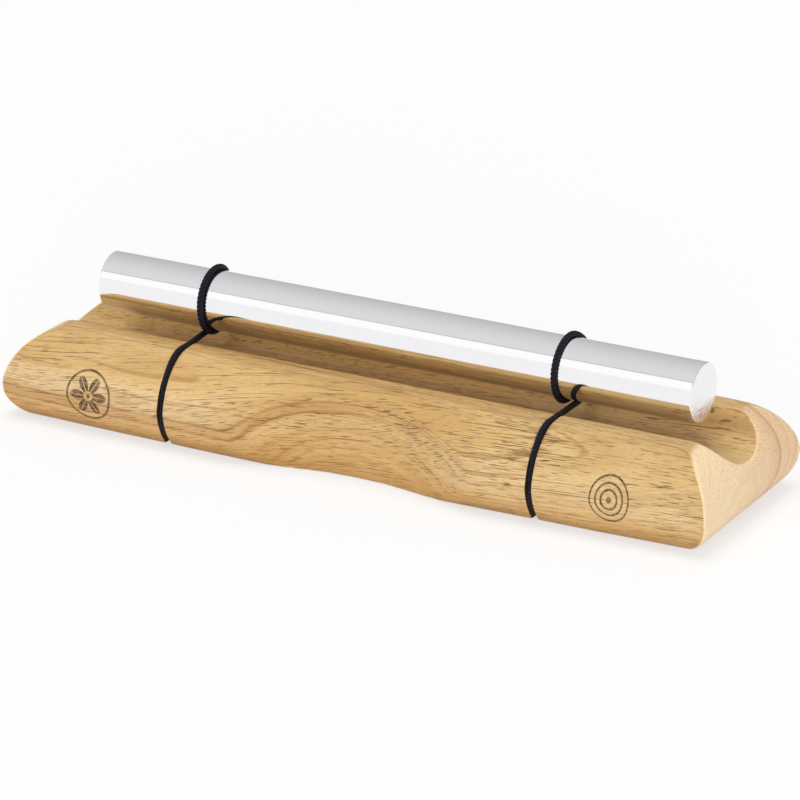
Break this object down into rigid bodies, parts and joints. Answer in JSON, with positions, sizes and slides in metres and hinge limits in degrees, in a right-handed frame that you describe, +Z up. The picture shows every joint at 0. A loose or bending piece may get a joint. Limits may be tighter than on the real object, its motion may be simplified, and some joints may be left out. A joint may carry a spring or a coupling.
{
  "type": "chime bar",
  "caption": "Chime bar: a polished round aluminium rod slung in two black cord loops over a wooden base with a groove and finger scoops.",
  "frame": {"origin": "Middle of the base's flat underside, on the surface that the object stands on.", "axes": "+X along the rod and the base's groove, towards the end nearer the camera in the picture; +Y away from the pictured long side; +Z up."},
  "size_m": [0.2056, 0.0608, 0.0419],
  "materials": {
    "wood": "oiled and sanded smooth, pale, with short dark pores",
    "aluminium": "polished all round, ends faced",
    "cord": "three-strand twisted black cord"
  },
  "bodies": {
    "stand": {"base": "wood", "left_cord_run": "cord", "right_cord_run": "cord"},
    "slings": {"left_cord_sling": "cord", "right_cord_sling": "cord"},
    "bar": {"rod": "aluminium"}
  },
  "joints": [
    {"name": "bar_bounce", "type": "slide", "parent": "stand", "child": "slings", "axis": [0, 0, 1], "range_m": [-0.0015, 0.002], "stiffness_N_per_m": 3000, "springref_m": 0.00031, "deforming": ["left_cord_sling", "right_cord_sling"]},
    {"name": "bar_slide", "type": "slide", "parent": "slings", "child": "bar", "axis": [1, 0, 0], "range_m": [-0.01, 0.01]}
  ]
}
